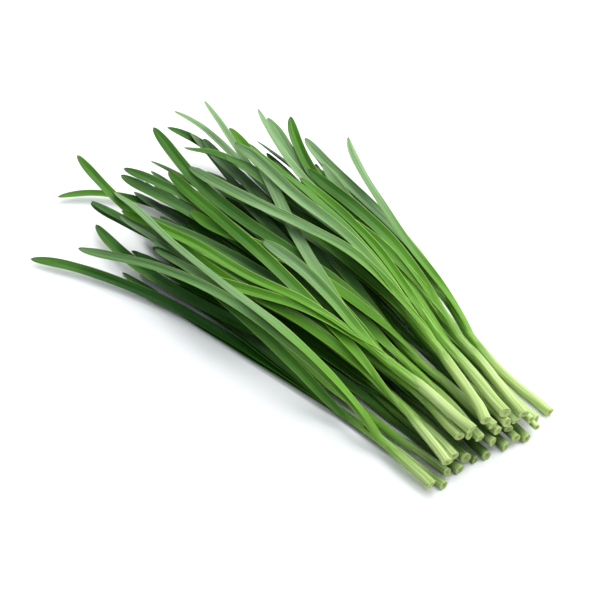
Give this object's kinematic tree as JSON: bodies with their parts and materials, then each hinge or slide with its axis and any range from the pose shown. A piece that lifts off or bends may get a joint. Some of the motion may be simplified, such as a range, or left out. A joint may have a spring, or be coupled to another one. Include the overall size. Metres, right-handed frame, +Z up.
{
  "type": "garlic chive bunch",
  "caption": "A loose bunch of cut garlic chives lying flat: long green strap leaves that part from slim pale round stalks, heaped and fanned towards the tips.",
  "frame": {"origin": "on the table, under the middle of the bunch's bounding box", "axes": "+X from the cut feet to the leaf tips, +Y to the bunch's left as seen from the feet, +Z up"},
  "size_m": [0.3106, 0.1814, 0.0466],
  "materials": {
    "shoot": "fresh plant skin, waxy and slightly glossy: pale yellow-green stalk, mid green leaves"
  },
  "bodies": {
    "root": {"shoot_01": "shoot", "shoot_02": "shoot", "shoot_03": "shoot", "shoot_04": "shoot", "shoot_05": "shoot", "shoot_06": "shoot", "shoot_07": "shoot", "shoot_08": "shoot", "shoot_09": "shoot", "shoot_10": "shoot", "shoot_11": "shoot", "shoot_12": "shoot", "shoot_13": "shoot", "shoot_14": "shoot", "shoot_15": "shoot", "shoot_16": "shoot", "shoot_17": "shoot", "shoot_18": "shoot", "shoot_19": "shoot", "shoot_20": "shoot", "shoot_21": "shoot", "shoot_22": "shoot", "shoot_23": "shoot", "shoot_24": "shoot", "shoot_25": "shoot", "shoot_26": "shoot", "shoot_27": "shoot", "shoot_28": "shoot", "shoot_29": "shoot", "shoot_30": "shoot"}
  },
  "joints": []
}
